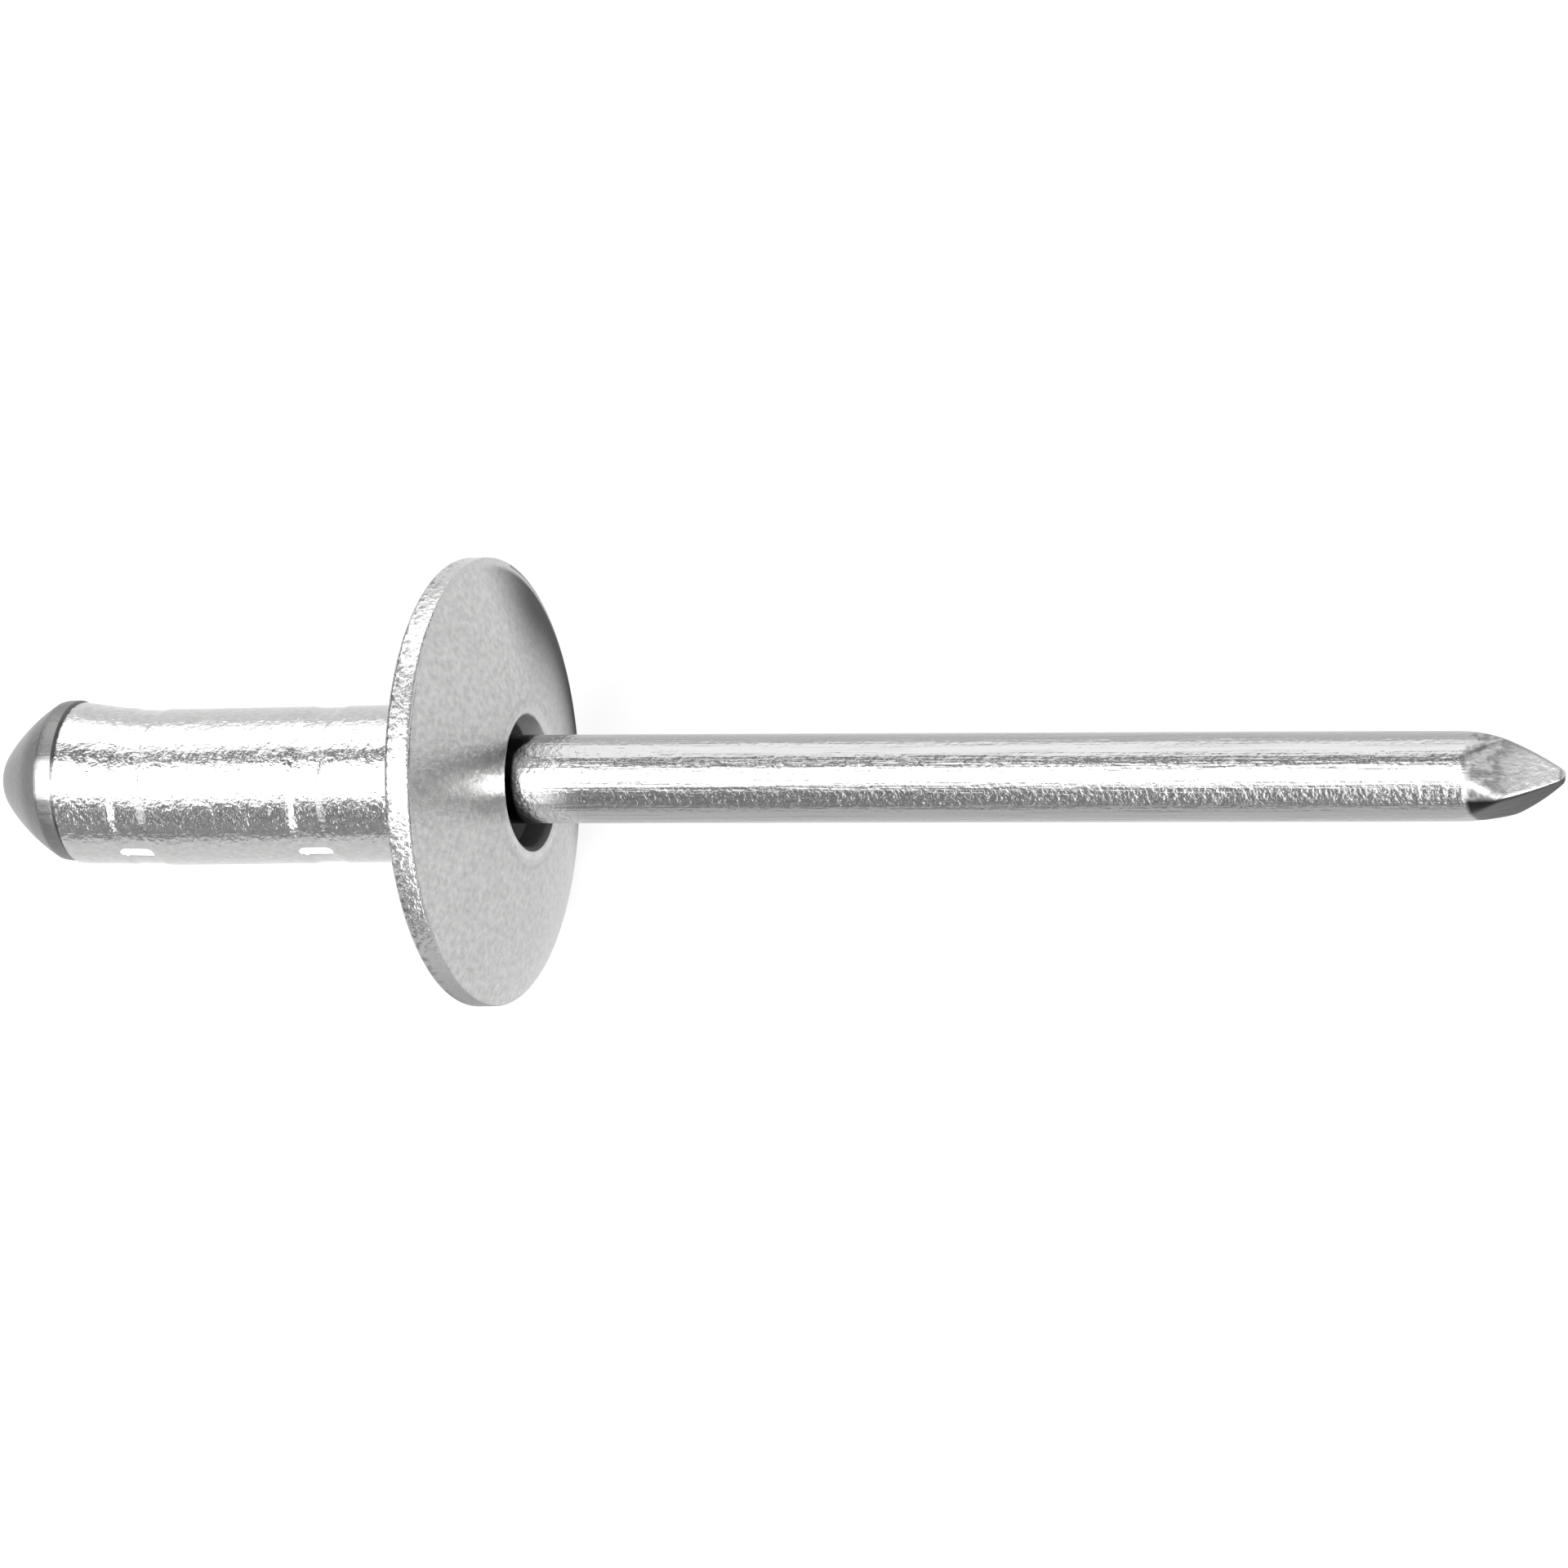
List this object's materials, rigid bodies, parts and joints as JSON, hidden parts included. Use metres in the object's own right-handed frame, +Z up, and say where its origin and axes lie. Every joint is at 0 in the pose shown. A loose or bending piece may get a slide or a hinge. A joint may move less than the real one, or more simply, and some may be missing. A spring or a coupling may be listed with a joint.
{
  "type": "blind rivet",
  "caption": "Unset open-end blind rivet: aluminium sleeve with a large domed flange and rolled rings, on a steel mandrel with a bullet head and a pinched point.",
  "frame": {"origin": "centre of the flange's flat seat, on the sleeve's axis", "axes": "+X towards the mandrel's point along the ground, +Y across, +Z up. The part lies at rest, so its axis dips 10.25 degrees below +X, and the mandrel's axis lies 0.20 mm from the sleeve's, up and towards +Y."},
  "size_m": [0.0499, 0.0136, 0.0136],
  "materials": {
    "sleeve": "bright drawn body, satin flange face, rough sparkling rim",
    "mandrel": "bright zinc on drawn steel wire, dull on the head and the pinched flats"
  },
  "bodies": {
    "root": {"sleeve": "sleeve", "mandrel": "mandrel"}
  },
  "joints": []
}
